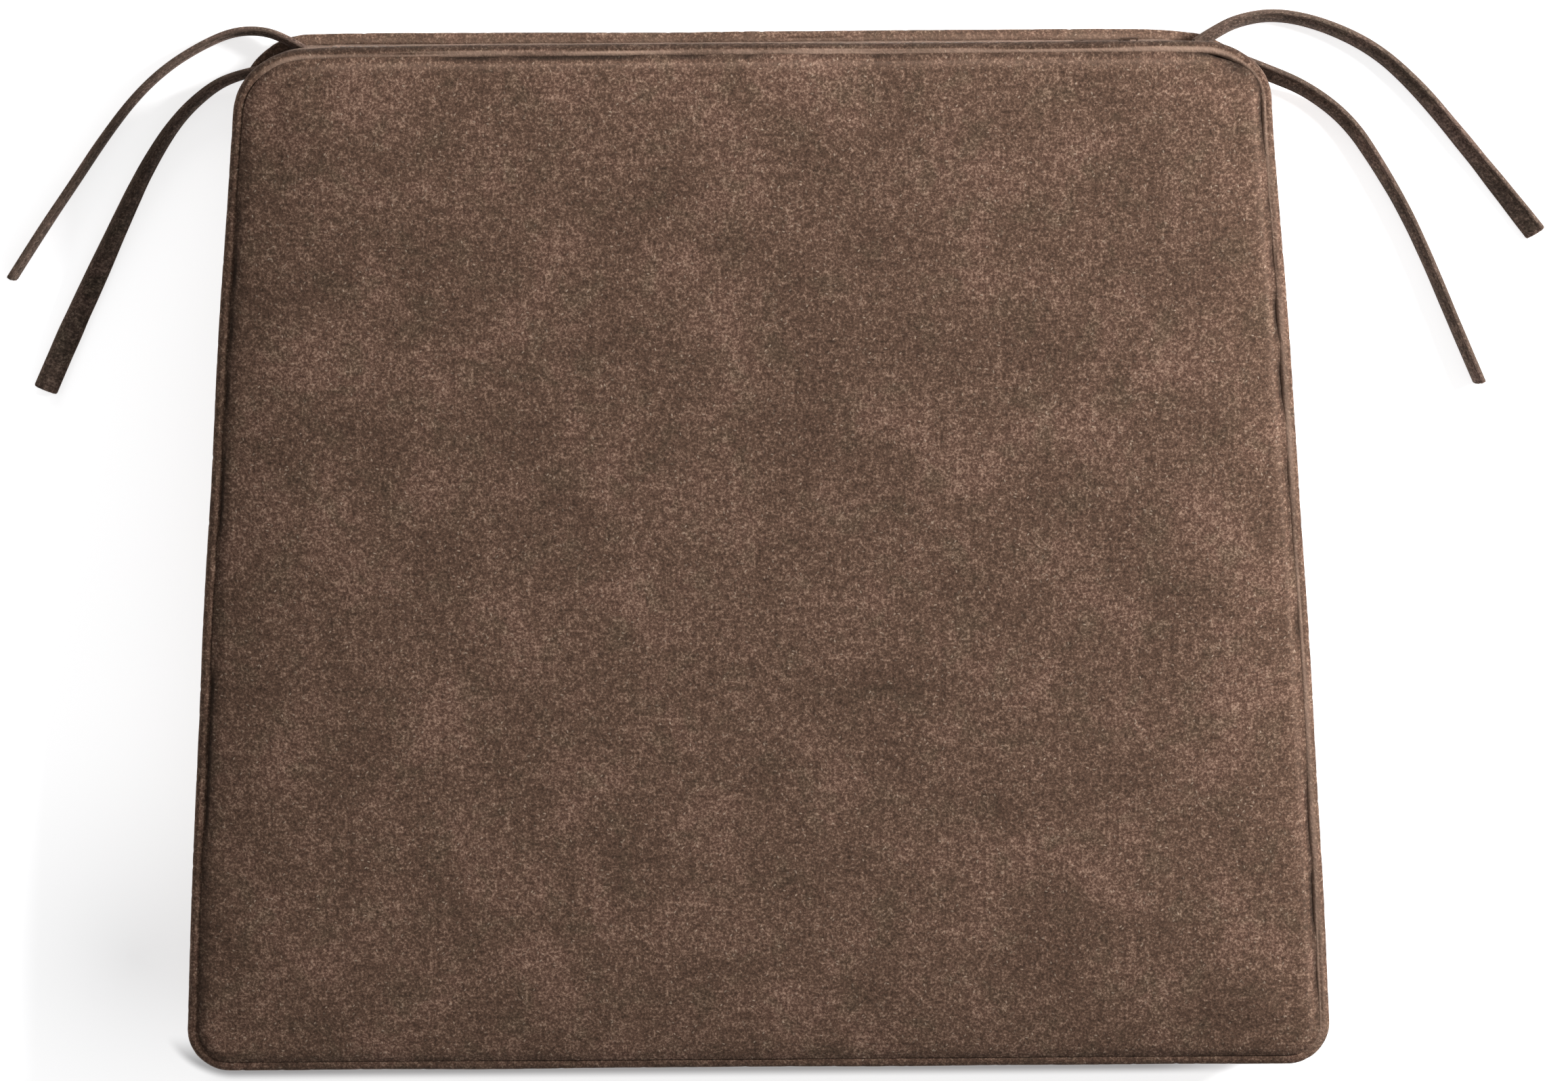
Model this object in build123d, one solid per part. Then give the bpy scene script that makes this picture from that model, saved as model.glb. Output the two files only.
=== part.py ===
# Boxed chair seat pad: a trapezoid cushion, wider at the front, with a covered
# cord (welt) in both seams, a zipped back and four tie tapes at the back corners.
# It lies as on a chair seat: X to the right, Y towards the back edge, Z up.
# The origin is the middle of the underside.
from build123d import *
import math
import os

# Outline over the welts, in millimetres
front_width = 444.5
back_width = 386.7
depth = 399.0
side_bow = 2.0
front_corner_radius = 16.0
back_corner_radius = 26.0

# Cloth, welts and boxing
cloth = 1.2
welt_radius = 2.5
bore_radius = 1.9
cord_radius = 1.8
seam_inset = 2 * welt_radius + 0.02
seam_allowance = 10.5
boxing_height = 38.0
boxing_bottom = 2 * cloth
boxing_top = boxing_bottom + boxing_height
rim_height = boxing_top + 2 * cloth
middle_height = rim_height / 2
crown_height = 50.0

# Insert: casing, fibre and foam
casing_thickness = 0.8
layer_gap = 0.1
foam_inset = 18.0
foam_bottom = 9.0
foam_thickness = 25.0

# Zip in the back boxing
back_panel_width = 320.0
window_half_height = 4.5
zip_length = 297.0
tape_width = 12.0
tape_thickness = 0.6
coil_width = 1.9
coil_thickness = 1.8
coil_gap = 1.0
stop_length = 3.0
slider_length = 10.0
slider_width = 8.0
slider_plate = 0.8
slider_rest_x = 143.0
pull_length = 21.0
pull_width = 5.0
pull_thickness = 0.9
hinge_inset = 2.6
pivot_radius = 0.5

# Ties: plain rounds of the same cloth section as a folded tape 9.5 x 3.2
tie_radius = 3.0
tie_routes = {
    "tie_left_back": [
        (-160.5, 197.2, 8.4), (-172.5, 198.0, 8.5), (-184.0, 201.2, 7.4),
        (-197.0, 200.8, 4.8), (-210.5, 195.2, 4.3), (-223.8, 186.9, 4.2),
        (-236.0, 175.6, 4.1), (-248.3, 159.8, 4.0), (-259.8, 142.9, 3.8),
        (-272.2, 125.3, 3.5), (-284.4, 106.6, 3.3),
    ],
    "tie_left_side": [
        (-185.8, 186.7, 8.5), (-196.2, 184.6, 8.1), (-207.0, 179.2, 5.6),
        (-220.2, 167.0, 4.3), (-232.2, 148.4, 4.2), (-242.2, 128.2, 4.1),
        (-252.8, 106.0, 3.8), (-263.4, 84.3, 3.5), (-273.1, 62.8, 3.3),
    ],
    "tie_right_back": [
        (160.5, 197.2, 8.4), (171.8, 198.1, 8.5), (183.6, 202.6, 7.4),
        (199.0, 205.0, 4.8), (218.0, 200.9, 4.3), (237.6, 191.4, 4.2),
        (253.6, 177.0, 4.1), (268.6, 159.3, 4.0), (284.6, 139.6, 3.6),
        (300.0, 120.1, 3.3),
    ],
    "tie_right_side": [
        (186.2, 186.7, 8.5), (197.6, 182.6, 8.0), (213.2, 175.4, 5.2),
        (228.4, 163.2, 4.3), (239.9, 146.0, 4.2), (250.0, 128.8, 4.1),
        (259.8, 107.9, 3.8), (269.4, 85.2, 3.5), (279.4, 62.4, 3.3),
    ],
}

# Height of the crowned face at a distance in from the outer edge
crown_profile = [
    (seam_inset, boxing_top + cloth), (seam_inset + 0.1, rim_height),
    (7.5, 44.6), (12.0, 46.1), (20.0, 47.5), (35.0, 48.7), (60.0, 49.5),
    (110.0, crown_height),
]

# The insert's outline up its side, stepped in past the seam allowances
insert_profile = [
    (16.4, 1.5), (16.1, 3.9), (9.5, 4.1), (9.5, 38.7), (16.1, 38.9),
    (16.6, 44.8), (22.0, 46.0), (36.0, 47.2), (60.0, 48.0), (110.0, 48.5),
]


def outline(inset):
    """The pad's plan outline, drawn in by a distance from the outer edge."""
    half_depth = depth / 2 - inset
    slope = (front_width - back_width) / 2 / depth
    side_inset = inset * math.sqrt(1 + slope ** 2)
    middle = (front_width + back_width) / 4 - side_inset
    front = middle + slope * half_depth
    back = middle - slope * half_depth
    edges = [
        Line((-front, -half_depth), (front, -half_depth)),
        ThreePointArc((front, -half_depth), (middle + side_bow, 0), (back, half_depth)),
        Line((back, half_depth), (-back, half_depth)),
        ThreePointArc((-back, half_depth), (-middle - side_bow, 0), (-front, -half_depth)),
    ]
    shape = make_face(edges)
    front_corners = shape.vertices().filter_by(lambda v: v.Y < 0)
    shape = fillet(front_corners, max(front_corner_radius - inset, 4))
    back_corners = shape.vertices().sort_by(Axis.Y)[-2:]
    return fillet(back_corners, max(back_corner_radius - inset, 4))


def slab(inset, bottom, top):
    return extrude(Pos(0, 0, bottom) * outline(inset), top - bottom)


def ring(outer_inset, inner_inset, bottom, top):
    return slab(outer_inset, bottom, top) - slab(inner_inset, bottom, top)


def layered(profile):
    """A solid through level outlines, one for each inset and height."""
    return loft([Pos(0, 0, z) * outline(inset) for inset, z in profile], ruled=True)


def shrunk(profile, distance, first_height, last_height):
    """The profile moved in square to its own line, with its end heights given."""
    moved = []
    for i, point in enumerate(profile):
        neighbours = profile[max(i - 1, 0):i], profile[i + 1:i + 2]
        sides = [(a, point) for a in neighbours[0]] + [(point, b) for b in neighbours[1]]
        nx = sum((b[1] - a[1]) / math.dist(a, b) for a, b in sides) / len(sides)
        nz = sum((a[0] - b[0]) / math.dist(a, b) for a, b in sides) / len(sides)
        stretch = distance / (nx * nx + nz * nz)
        moved.append((point[0] + nx * stretch, point[1] + nz * stretch))
    moved[0] = (moved[0][0], first_height)
    moved[-1] = (profile[-1][0], last_height)
    return moved


def insert_solid(skin):
    """The insert's filling, a distance below its outer surface."""
    bottom, top = insert_profile[0][1], insert_profile[-1][1]
    return layered(shrunk(insert_profile, skin, bottom + skin, top - skin))


def halves(solid):
    """The solid above and below the middle height."""
    upper = Pos(0, 0, middle_height) * Box(
        600, 600, 100, align=(Align.CENTER, Align.CENTER, Align.MIN)
    )
    return solid & upper, solid - upper


def block(x0, x1, inset0, inset1, z0, z1):
    """A box behind or in front of the back edge, placed by its inset."""
    y0, y1 = depth / 2 - max(inset0, inset1), depth / 2 - min(inset0, inset1)
    corner = (Align.MIN, Align.MIN, Align.MIN)
    return Pos(x0, y0, z0) * Box(x1 - x0, y1 - y0, z1 - z0, align=corner)


def tube(route, radius):
    """Straight runs joined by the largest arcs that their lengths allow."""
    points = [Vector(*p) for p in route]
    radii = []
    for a, b, c in zip(points, points[1:], points[2:]):
        turn = math.radians((b - a).get_angle(c - b))
        shorter = min((b - a).length, (c - b).length)
        radii.append(0.45 * shorter / math.tan(turn / 2))
    path = FilletPolyline(*points, radius=radii)
    solid = sweep((path ^ 0) * Circle(radius), path=path)
    return solid, path.length, radii


def welt(height, flange_bottom):
    """The bias strip round the cord, with its flange, and the cord inside."""
    path = (Pos(0, 0, height) * outline(welt_radius)).wire()
    start = path ^ 0
    skin = sweep(start * Circle(welt_radius), path=path)
    bore = sweep(start * Circle(bore_radius), path=path)
    cord = sweep(start * Circle(cord_radius), path=path)
    flange = ring(
        seam_inset - 0.6, seam_inset + seam_allowance, flange_bottom, flange_bottom + cloth
    )
    return skin + flange - bore, cord


def panels():
    seam_height = crown_profile[0][1]
    under = shrunk(crown_profile, cloth, seam_height, crown_height - cloth)
    face = layered(crown_profile) - layered(under)
    rim = ring(seam_inset, seam_inset + seam_allowance, seam_height, rim_height)
    return {"top_panel": face + rim, "bottom_panel": slab(seam_inset, 0, cloth)}


def boxing():
    inner = seam_inset + cloth
    turned = seam_inset + seam_allowance
    whole = (
        ring(seam_inset, inner, boxing_bottom, boxing_top)
        + ring(seam_inset, turned, boxing_bottom, boxing_bottom + cloth)
        + ring(seam_inset, turned, boxing_top - cloth, boxing_top)
    )
    half = back_panel_width / 2
    back_zone = block(-half, half, -1, 60, 0, rim_height)
    back = whole & back_zone
    above = block(-half, half, -1, 60, middle_height + window_half_height, rim_height)
    below = block(-half, half, -1, 60, 0, middle_height - window_half_height)
    return {
        "boxing_front_sides": whole - back_zone,
        "boxing_back_upper": back & above,
        "boxing_back_lower": back & below,
    }


def insert():
    filling = insert_solid(casing_thickness + layer_gap)
    foam_top = foam_bottom + foam_thickness
    foam_room = slab(foam_inset - layer_gap, foam_bottom - layer_gap, foam_top + layer_gap)
    fibre_top, fibre_bottom = halves(filling - foam_room)
    casing_top, casing_bottom = halves(insert_solid(0) - insert_solid(casing_thickness))
    return {
        "foam_core": slab(foam_inset, foam_bottom, foam_top),
        "fibre_wrap_top": fibre_top,
        "fibre_wrap_bottom": fibre_bottom,
        "insert_casing_top": casing_top,
        "insert_casing_bottom": casing_bottom,
    }


def zip_chain():
    """Tapes behind the boxing, coils on them in the window, and the end stops."""
    parts = {}
    half = zip_length / 2
    tape_face = seam_inset + cloth
    tape_half = back_panel_width / 2 - 2
    near = coil_gap / 2
    for name, side in (("upper", 1), ("lower", -1)):
        tape_z = sorted(middle_height + side * d for d in (near, near + tape_width))
        coil_z = sorted(middle_height + side * d for d in (near, near + coil_width))
        parts["zip_tape_" + name] = block(
            -tape_half, tape_half, tape_face, tape_face + tape_thickness, *tape_z
        )
        parts["zip_coil_" + name] = block(
            -half, half, tape_face - coil_thickness, tape_face, *coil_z
        )
    stop_half = near + coil_width + 0.2
    stops = [
        block(
            x, x + stop_length, tape_face - coil_thickness - 0.2, tape_face,
            middle_height - stop_half, middle_height + stop_half,
        )
        for x in (half + 0.1, -half - 0.1 - stop_length)
    ]
    parts["zip_stops"] = Compound(children=stops)
    return parts


def zip_slider():
    """Two plates joined by a post, side flanges, and an arch for the pull."""
    x = slider_rest_x
    z = middle_height
    half = slider_length / 2
    side = slider_width / 2
    face = seam_inset + cloth - coil_thickness - 0.3
    outer = face - slider_plate
    back = seam_inset + cloth + tape_thickness + 0.3
    body = block(x - half, x + half, outer, face, z - side, z + side)
    body += block(x - half, x + half, back, back + slider_plate, z - side, z + side)
    body += block(x + half - 3, x + half, outer, back + slider_plate, z - 0.3, z + 0.3)
    for edge in (z - side, z + side - slider_plate):
        body += block(x - half, x + half, face, face + 1.6, edge, edge + slider_plate)
    arch_top = hinge_inset - pivot_radius - 0.9
    for post in (x - 3.3, x + 2.5):
        body += block(post, post + 0.8, arch_top, outer, z - 0.8, z + 0.8)
    body += block(x - 3.3, x + 3.3, arch_top, arch_top + 0.7, z - 0.8, z + 0.8)
    return body


def zip_pull():
    """The tab and the cross bar that turns under the slider's arch."""
    x = slider_rest_x
    z = middle_height
    half = pull_width / 2
    y = depth / 2 - hinge_inset
    bar = Pos(x, y, z) * Cylinder(pivot_radius, pull_width)
    near = hinge_inset - pull_thickness / 2
    far = hinge_inset + pull_thickness / 2
    tab = block(x - pull_length + half, x + 0.3, near, far, z - half, z + half)
    tab += Pos(x - pull_length + half, y, z) * Rot(90, 0, 0) * Cylinder(half, pull_thickness)
    tab -= block(x - 4.2, x + 1, near - 1, far + 1, z - 1.2, z + 1.2)
    tab -= Pos(x - pull_length + half, y, z) * Rot(90, 0, 0) * Cylinder(1.0, 3)
    return tab + bar


def ties():
    parts = {}
    for name, route in tie_routes.items():
        solid, length, radii = tube(route, tie_radius)
        wanted = math.pi * tie_radius ** 2 * length
        print(name, "length", round(length, 1), "volume ratio", round(solid.volume / wanted, 4))
        print("   radii", [round(r, 1) for r in radii])
        parts[name] = solid
    return parts


def build():
    parts = {}
    parts.update(panels())
    parts.update(boxing())
    parts["bottom_welt_cover"], parts["bottom_welt_cord"] = welt(welt_radius, cloth)
    parts["top_welt_cover"], parts["top_welt_cord"] = welt(rim_height - welt_radius, boxing_top)
    parts.update(insert())
    parts.update(zip_chain())
    parts["zip_slider"] = zip_slider()
    parts["zip_pull"] = zip_pull()
    parts.update(ties())
    return parts


os.makedirs("parts", exist_ok=True)
for name, part in build().items():
    export_step(part, "parts/" + name + ".step")
    print(name, "volume", round(part.volume, 1))
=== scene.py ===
import bmesh
import bpy
import math
import random
import numpy as np
from functools import partial
from mathutils import Matrix, Vector, noise
from mathutils.bvhtree import BVHTree


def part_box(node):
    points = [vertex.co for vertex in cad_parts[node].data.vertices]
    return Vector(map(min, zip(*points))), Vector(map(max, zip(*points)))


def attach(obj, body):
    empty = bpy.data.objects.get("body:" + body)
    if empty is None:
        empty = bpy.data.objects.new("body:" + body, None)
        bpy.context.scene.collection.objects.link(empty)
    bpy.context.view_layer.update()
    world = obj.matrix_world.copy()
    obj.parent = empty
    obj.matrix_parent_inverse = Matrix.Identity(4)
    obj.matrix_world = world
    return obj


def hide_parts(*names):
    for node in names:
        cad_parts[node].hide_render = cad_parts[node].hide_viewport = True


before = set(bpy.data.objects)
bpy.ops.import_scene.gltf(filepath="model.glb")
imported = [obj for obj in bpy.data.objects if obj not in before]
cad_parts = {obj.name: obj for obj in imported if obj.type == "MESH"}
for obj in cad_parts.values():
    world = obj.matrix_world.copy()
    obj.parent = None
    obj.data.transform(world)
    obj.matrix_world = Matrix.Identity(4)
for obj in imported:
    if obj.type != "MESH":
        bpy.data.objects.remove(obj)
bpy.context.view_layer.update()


def addObject(name, data):
    added = bpy.data.objects.new(name, data)
    bpy.context.collection.objects.link(added)
    return added


def evaluatedMesh(piece):
    graph = bpy.context.evaluated_depsgraph_get()
    return bpy.data.meshes.new_from_object(piece.evaluated_get(graph))


# the pad's plan shape, metres; the depth comes from the frame
padShape = {
    "frontWidth": 0.4445,
    "backWidth": 0.3867,
    "sideBow": 0.002,
    "frontRadius": 0.016,
    "backRadius": 0.026,
    "halfArc": 12,            # steps round half a corner
    "loopSteps": 3600,
    "depth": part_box("bottom_welt_cover")[1][1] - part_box("bottom_welt_cover")[0][1],
}
seamInset = 0.00502
clothThickness = 0.0009
panelInset = 0.0039          # the face swells over the inner side of its welt
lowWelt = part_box("bottom_welt_cover")
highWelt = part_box("top_welt_cover")
weltSize = lowWelt[1][2] - lowWelt[0][2]
lowSeam = lowWelt[0][2] + weltSize * 0.45
highSeam = highWelt[1][2] - weltSize * 0.45


# ---- shader nodes

def putNode(tree, kind, values=None, **settings):
    node = tree.nodes.new(kind)
    for name, value in settings.items():
        setattr(node, name, value)
    for name, value in (values or {}).items():
        if isinstance(value, bpy.types.NodeSocket):
            tree.links.new(value, node.inputs[name])
        else:
            node.inputs[name].default_value = value
    return node


def mathNode(tree, operation, a, b=0.0, clamp=False):
    node = putNode(tree, "ShaderNodeMath", {0: a, 1: b}, operation=operation, use_clamp=clamp)
    return node.outputs[0]


def sums(tree):
    # plus, minus and times for one tree
    return [partial(mathNode, tree, kind) for kind in ("ADD", "SUBTRACT", "MULTIPLY")]


def mixNode(tree, factor, a, b, blend="MIX"):
    node = tree.nodes.new("ShaderNodeMix")
    node.data_type, node.blend_type = "RGBA", blend
    for socket, value in ((node.inputs[0], factor), (node.inputs[6], a), (node.inputs[7], b)):
        if isinstance(value, bpy.types.NodeSocket):
            tree.links.new(value, socket)
        else:
            socket.default_value = value
    return node.outputs[2]


def rampNode(tree, value, low, high):
    node = putNode(tree, "ShaderNodeMapRange", {"Value": value, "From Min": low, "From Max": high},
                   interpolation_type="SMOOTHSTEP")
    return node.outputs[0]


def newMaterial(name, constants):
    material = bpy.data.materials.new(name)
    material.use_nodes = True
    shader = material.node_tree.nodes["Principled BSDF"]
    for label, value in constants.items():
        shader.inputs[label].default_value = value
    return material, material.node_tree, shader


# ---- camera, floor and light

view = {
    "target": (0.0, 0.0047, 0.020),
    "distance": 2.5,
    "lean": 11.525,       # degrees off straight down, towards the back edge
    "roll": 0.383,
    "lens": 149.15,
    "shift": 0.0184,
}


def addCamera():
    lean, roll = math.radians(view["lean"]), math.radians(view["roll"])
    target = Vector(view["target"])
    back = Vector((0, math.sin(lean), math.cos(lean)))
    level, up = Vector((1, 0, 0)), Vector((0, math.cos(lean), -math.sin(lean)))
    right = level * math.cos(roll) - up * math.sin(roll)
    top = level * math.sin(roll) + up * math.cos(roll)
    data = bpy.data.cameras.new("studioCamera")
    data.lens, data.sensor_width = view["lens"], 36
    data.shift_x = view["shift"]
    data.clip_end = 20
    camera = addObject("studioCamera", data)
    turn = Matrix((right, top, back)).transposed().to_4x4()
    camera.matrix_world = Matrix.Translation(target + back * view["distance"]) @ turn
    bpy.context.scene.camera = camera


studio = {
    "keyPlace": (1.26, 0.66, 0.76),
    "keyAim": (0.03, 0.0, 0.0),
    "keySize": 0.40,
    "keyPower": 45.5,
    "rimPlace": (-0.35, 1.35, 0.42),
    "rimSize": 0.5,
    "rimPower": 4.5,
    "skyStrength": 0.36,
    "floorHalf": 6.0,
    "floorTone": (0.86, 0.86, 0.87, 1),
    "floorGlow": 0.665,
    "paintedShadePlace": (-0.245, -0.165, 0),      # painted shade: the floor's glow is weaker round here
    "paintedShadeSize": (0.12, 0.11, 1),
    "paintedShadeFall": 0.27,
    "contactSide": 0.206,     # a thin line of painted contact shadow follows this rounded rectangle
    "contactFront": -0.1835,
    "contactGap": (0.0322, 0.0282),
    "contactAhead": (-0.196, -0.2095),
    "contactAside": (0.215, 0.150),
    "paintedContactShadeFall": 0.80,
}


def addAreaLight(name, place, aim, size, power):
    data = bpy.data.lights.new(name, "AREA")
    data.shape, data.size, data.energy = "DISK", size, power
    light = addObject(name, data)
    light.location = place
    light.rotation_euler = (Vector(place) - Vector(aim)).to_track_quat("Z", "Y").to_euler()


def floorPaper():
    # white paper that glows evenly, with painted shade: a soft patch at the near left and a thin
    # painted contact shadow along the front edge
    paint, tree, shader = newMaterial("floorPaper", {
        "Base Color": studio["floorTone"], "Roughness": 0.9,
        "Specular IOR Level": 0.0, "Emission Strength": studio["floorGlow"]})
    plus, minus, times = sums(tree)
    place = putNode(tree, "ShaderNodeTexCoord").outputs["Object"]
    paintedShadeSpot = putNode(tree, "ShaderNodeMapping",
                   {"Vector": place, "Location": studio["paintedShadePlace"], "Scale": studio["paintedShadeSize"]},
                   vector_type="TEXTURE")
    soft = putNode(tree, "ShaderNodeTexGradient", {"Vector": paintedShadeSpot.outputs[0]},
                   gradient_type="QUADRATIC_SPHERE").outputs["Fac"]
    split = putNode(tree, "ShaderNodeSeparateXYZ", {"Vector": place})
    x, y = split.outputs[0], split.outputs[1]
    aside = minus(mathNode(tree, "ABSOLUTE", x), studio["contactSide"])
    aside = mathNode(tree, "MAXIMUM", aside, 0.0)
    ahead = mathNode(tree, "MAXIMUM", minus(studio["contactFront"], y), 0.0)
    gap = mathNode(tree, "SQRT", plus(times(aside, aside), times(ahead, ahead)))
    line = times(rampNode(tree, gap, *studio["contactGap"]),
                 times(rampNode(tree, y, *studio["contactAhead"]),
                       rampNode(tree, x, *studio["contactAside"])))
    glow = minus(1.0, plus(times(soft, studio["paintedShadeFall"]), times(line, studio["paintedContactShadeFall"])))
    grey = putNode(tree, "ShaderNodeCombineColor", {0: glow, 1: glow, 2: glow})
    tree.links.new(grey.outputs[0], shader.inputs["Emission Color"])
    return paint


def addStudio():
    addAreaLight("keyLight", studio["keyPlace"], studio["keyAim"],
                 studio["keySize"], studio["keyPower"])
    addAreaLight("rimLight", studio["rimPlace"], studio["keyAim"],
                 studio["rimSize"], studio["rimPower"])
    world = bpy.data.worlds.new("studioSky")
    world.use_nodes = True
    tree = world.node_tree
    sky = tree.nodes["Background"]
    sky.inputs["Color"].default_value = (1, 1, 1, 1)
    rays = tree.nodes.new("ShaderNodeLightPath")
    seen = tree.nodes.new("ShaderNodeMapRange")     # the sky itself shows white
    seen.inputs["To Min"].default_value = studio["skyStrength"]
    seen.inputs["To Max"].default_value = 1.0
    tree.links.new(rays.outputs["Is Camera Ray"], seen.inputs["Value"])
    tree.links.new(seen.outputs[0], sky.inputs["Strength"])
    bpy.context.scene.world = world
    bpy.context.scene.view_settings.view_transform = "Standard"
    mesh = bpy.data.meshes.new("studioFloor")
    s = studio["floorHalf"]
    mesh.from_pydata([(-s, -s, 0), (s, -s, 0), (s, s, 0), (-s, s, 0)], [], [(0, 1, 2, 3)])
    mesh.materials.append(floorPaper())
    addObject("studioFloor", mesh)


# ---- shader groups

def noiseNode(tree, vector, scale, detail=2.0, roughness=0.5, distortion=0.0):
    node = putNode(tree, "ShaderNodeTexNoise",
                   {"Vector": vector, "Scale": scale, "Detail": detail,
                    "Roughness": roughness, "Distortion": distortion},
                   noise_dimensions="2D")
    return node.outputs["Fac"]


def newGroup(name, inputs, outputs, kind="ShaderNodeTree"):
    group = bpy.data.node_groups.new(name, kind)
    for label, socketKind, value in inputs:
        socket = group.interface.new_socket(label, in_out="INPUT", socket_type=socketKind)
        if value is not None:
            socket.default_value = value
    for label, socketKind in outputs:
        group.interface.new_socket(label, in_out="OUTPUT", socket_type=socketKind)
    return group, group.nodes.new("NodeGroupInput"), group.nodes.new("NodeGroupOutput")


def fleckMask(tree, vector, angle, length, width, share, offset):
    # slim fibre ends, all lying one way, on a few cells of a stretched pattern
    turned = putNode(tree, "ShaderNodeMapping",
                     {"Vector": vector, "Location": (offset, offset * 1.7, 0),
                      "Rotation": (0, 0, math.radians(angle))})
    scaled = putNode(tree, "ShaderNodeMapping",
                     {"Vector": turned.outputs[0],
                      "Scale": (0.5 / length, 0.5 / width, 1)})
    cells = putNode(tree, "ShaderNodeTexVoronoi",
                    {"Vector": scaled.outputs[0], "Scale": 1.0, "Randomness": 1.0},
                    voronoi_dimensions="2D")
    plus, _, times = sums(tree)
    core = rampNode(tree, cells.outputs["Distance"], 0.30, 0.12)
    pick = putNode(tree, "ShaderNodeSeparateColor", {"Color": cells.outputs["Color"]})
    chosen = rampNode(tree, pick.outputs[0], 1.0 - share - 0.03, 1.0 - share + 0.03)
    strength = mathNode(tree, "POWER", pick.outputs[1], 2.0)
    return times(times(core, chosen), plus(times(strength, 0.85), 0.15))


addCamera()
addStudio()
print("camera and studio ready")


heather = {
    "patchScale": 30.0,       # cloudy patches about 30 mm across
    "clumpScale": 330.0,      # nap gathered in 3 mm clumps
    "strandScale": 980.0,     # short strands about 1 mm long
    "grainScale": 2300.0,
    "fleckLength": 0.0013,
    "fleckWidth": 0.00062,
    "fleckShare": 0.055,
    "fleckTurns": ((12, 0.0), (74, 0.31), (133, 0.67)),    # each way with its own offset
    "strandTone": 2.25,
    "clumpTone": 1.3,
    "grainTone": 1.0,
    "patchTone": 0.8,
    "mostTone": 2.6,
    "paleFrom": 1.1,
    "paleGain": 0.26,
}


def heatherGroup():
    group, source, target = newGroup(
        "heatheredNap",
        [("Vector", "NodeSocketVector", None),
         ("Ground", "NodeSocketColor", (0.1, 0.06, 0.045, 1)),
         ("Warm", "NodeSocketColor", (0.12, 0.06, 0.05, 1)),
         ("Olive", "NodeSocketColor", (0.08, 0.07, 0.04, 1)),
         ("Fleck", "NodeSocketColor", (0.35, 0.26, 0.2, 1)),
         ("Contrast", "NodeSocketFloat", 1.0),
         ("Fleck Amount", "NodeSocketFloat", 0.6)],
        [("Color", "NodeSocketColor"), ("Height", "NodeSocketFloat")],
    )
    plus, minus, times = sums(group)
    vector, contrast = source.outputs["Vector"], source.outputs["Contrast"]
    patches = noiseNode(group, vector, heather["patchScale"], 3.0, 0.6, 0.4)
    tint = noiseNode(group, vector, heather["patchScale"] * 2.3, 3.0, 0.55, 0.3)
    clumps = noiseNode(group, vector, heather["clumpScale"], 2.0, 0.55, 0.2)
    strands = noiseNode(group, vector, heather["strandScale"], 2.0, 0.6)
    grain = noiseNode(group, vector, heather["grainScale"], 1.0, 0.6)
    color = mixNode(group, times(rampNode(group, patches, 0.46, 0.70), 0.75),
                    source.outputs["Ground"], source.outputs["Warm"])
    color = mixNode(group, times(rampNode(group, tint, 0.50, 0.74), 0.7),
                    color, source.outputs["Olive"])
    # light and dark nap: one factor round 1, skewed so that the light ends stand out
    tone = None
    for value, amount in ((strands, heather["strandTone"]), (clumps, heather["clumpTone"]),
                          (grain, heather["grainTone"]), (patches, heather["patchTone"])):
        part = times(minus(value, 0.5), amount)
        tone = part if tone is None else plus(tone, part)
    tone = mathNode(group, "EXPONENT", times(tone, contrast))
    tone = mathNode(group, "MINIMUM", tone, heather["mostTone"])
    toneColor = putNode(group, "ShaderNodeCombineColor", {0: tone, 1: tone, 2: tone}).outputs[0]
    color = mixNode(group, 1.0, color, toneColor, "MULTIPLY")
    pale = times(minus(tone, heather["paleFrom"]), heather["paleGain"], clamp=True)
    color = mixNode(group, pale, color, source.outputs["Fleck"])
    flecks = None
    for angle, offset in heather["fleckTurns"]:
        mask = fleckMask(group, vector, angle, heather["fleckLength"],
                         heather["fleckWidth"], heather["fleckShare"], offset)
        flecks = mask if flecks is None else mathNode(group, "MAXIMUM", flecks, mask)
    color = mixNode(group, times(flecks, source.outputs["Fleck Amount"]),
                    color, source.outputs["Fleck"])
    height = plus(plus(times(clumps, 0.8), times(strands, 0.7)), times(flecks, 0.35))
    group.links.new(color, target.inputs["Color"])
    group.links.new(height, target.inputs["Height"])
    return group


def weaveGroup():
    # plain woven tape or lining: crossed threads
    group, source, target = newGroup(
        "plainWeave",
        [("Vector", "NodeSocketVector", None), ("Thread", "NodeSocketFloat", 0.0006),
         ("Light", "NodeSocketColor", (0.8, 0.8, 0.8, 1)),
         ("Dark", "NodeSocketColor", (0.5, 0.5, 0.5, 1))],
        [("Color", "NodeSocketColor"), ("Height", "NodeSocketFloat")],
    )
    plus, _, times = sums(group)
    split = putNode(group, "ShaderNodeSeparateXYZ", {"Vector": source.outputs["Vector"]})
    waves = []
    for axis in range(3):
        turns = mathNode(group, "DIVIDE", split.outputs[axis], source.outputs["Thread"])
        waves.append(mathNode(group, "SINE", times(turns, math.tau / 2)))
    height = rampNode(group, times(waves[0], plus(waves[1], waves[2])), -1.0, 1.0)
    color = mixNode(group, height, source.outputs["Dark"], source.outputs["Light"])
    group.links.new(color, target.inputs["Color"])
    group.links.new(height, target.inputs["Height"])
    return group


heatherNodes = heatherGroup()
weaveNodes = weaveGroup()


def bumpInto(tree, shader, height, strength, distance):
    bump = putNode(tree, "ShaderNodeBump",
                   {"Height": height, "Strength": strength, "Distance": distance})
    tree.links.new(bump.outputs[0], shader.inputs["Normal"])


# each look ends with a pale colour for painted highlight and the wear on the tie edges, and a deep
# colour for painted shade
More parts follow.
